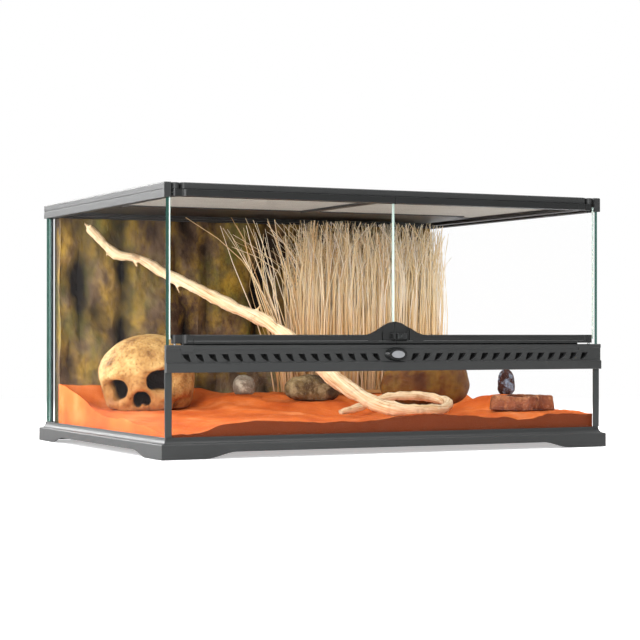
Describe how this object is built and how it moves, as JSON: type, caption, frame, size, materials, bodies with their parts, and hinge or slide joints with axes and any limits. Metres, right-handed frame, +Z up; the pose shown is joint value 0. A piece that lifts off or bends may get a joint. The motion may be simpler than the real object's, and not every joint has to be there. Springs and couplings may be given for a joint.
{
  "type": "reptile terrarium",
  "caption": "Front-opening glass terrarium with two swinging doors, slotted vent strip, lift-off mesh lid and desert fit-out of sand, rock wall, branch and dish.",
  "frame": {"origin": "centre of the base frame's underside, on the table", "axes": "+X to the right seen from the doors, +Y to the rear, +Z up"},
  "size_m": [0.6164, 0.4703, 0.3224],
  "materials": {
    "base_plastic": "fine satin moulded plastic, charcoal",
    "frame_plastic": "fine satin moulded plastic, charcoal",
    "small_plastic": "fine satin moulded plastic, near black",
    "glass": "clear float glass with green edges",
    "sealant": "dark silicone sealant",
    "vent_gauze": "fine black gauze",
    "badge_black": "smooth black plastic",
    "badge_silver": "plain brushed plate",
    "lid_mesh": "woven steel mesh",
    "pin_steel": "plain steel",
    "rock_foam": "painted rigid foam rock",
    "sand": "loose red desert sand",
    "skull_resin": "painted resin, bone colour",
    "driftwood": "bleached wood",
    "dry_grass": "dry straw",
    "boulder": "rough sandstone",
    "dark_stone": "rough dark stone",
    "tan_rock": "rough tan stone",
    "grey_stone": "rough grey stone",
    "dish_resin": "rough cast resin, terracotta"
  },
  "bodies": {
    "tank": {"base_frame": "base_plastic", "floor_glass": "glass", "left_glass": "glass", "right_glass": "glass", "rear_glass": "glass", "front_lower_glass": "glass", "silicone_seams": "sealant", "left_corner_trim": "frame_plastic", "right_corner_trim": "frame_plastic", "vent_strip": "frame_plastic", "vent_screen": "vent_gauze", "badge_bezel": "badge_black", "badge_plate": "badge_silver", "top_frame": "frame_plastic", "left_lid_ledge": "frame_plastic", "right_lid_ledge": "frame_plastic", "left_bolt_keeper": "small_plastic", "right_bolt_keeper": "small_plastic", "rock_background": "rock_foam", "sand_bed": "sand", "skull_ornament": "skull_resin", "driftwood": "driftwood", "dry_grass": "dry_grass", "big_boulder": "boulder", "small_boulder": "dark_stone", "flat_rock": "tan_rock", "grey_stone": "grey_stone", "water_dish": "dish_resin"},
    "left_inlet": {"left_inlet_shutter": "small_plastic"},
    "right_inlet": {"right_inlet_shutter": "small_plastic"},
    "lid": {"lid_frame": "frame_plastic", "lid_mesh": "lid_mesh"},
    "left_bolt": {"left_lid_bolt": "small_plastic"},
    "right_bolt": {"right_lid_bolt": "small_plastic"},
    "left_door": {"left_door_glass": "glass", "left_door_rail": "frame_plastic", "left_door_top_rail": "frame_plastic", "left_hinge_pins": "pin_steel"},
    "right_door": {"right_door_glass": "glass", "right_door_rail": "frame_plastic", "right_door_top_rail": "frame_plastic", "right_hinge_pins": "pin_steel"},
    "latch": {"door_latch": "small_plastic"}
  },
  "joints": [
    {"name": "left_door_hinge", "type": "hinge", "parent": "tank", "child": "left_door", "pos_m": [-0.288, -0.223, 0.225], "axis": [0, 0, -1], "range_deg": [0, 105]},
    {"name": "right_door_hinge", "type": "hinge", "parent": "tank", "child": "right_door", "pos_m": [0.288, -0.223, 0.225], "axis": [0, 0, 1], "range_deg": [0, 105]},
    {"name": "latch_slide", "type": "slide", "parent": "right_door", "child": "latch", "axis": [-1, 0, 0], "range_m": [0, 0.005]},
    {"name": "lid_lift", "type": "slide", "parent": "tank", "child": "lid", "axis": [0, 0, 1], "range_m": [0, 0.12]},
    {"name": "left_bolt_slide", "type": "slide", "parent": "lid", "child": "left_bolt", "axis": [-1, 0, 0], "range_m": [0, 0.004]},
    {"name": "right_bolt_slide", "type": "slide", "parent": "lid", "child": "right_bolt", "axis": [1, 0, 0], "range_m": [0, 0.004]},
    {"name": "left_inlet_slide", "type": "slide", "parent": "tank", "child": "left_inlet", "axis": [1, 0, 0], "range_m": [0, 0.05]},
    {"name": "right_inlet_slide", "type": "slide", "parent": "tank", "child": "right_inlet", "axis": [-1, 0, 0], "range_m": [0, 0.05]}
  ]
}
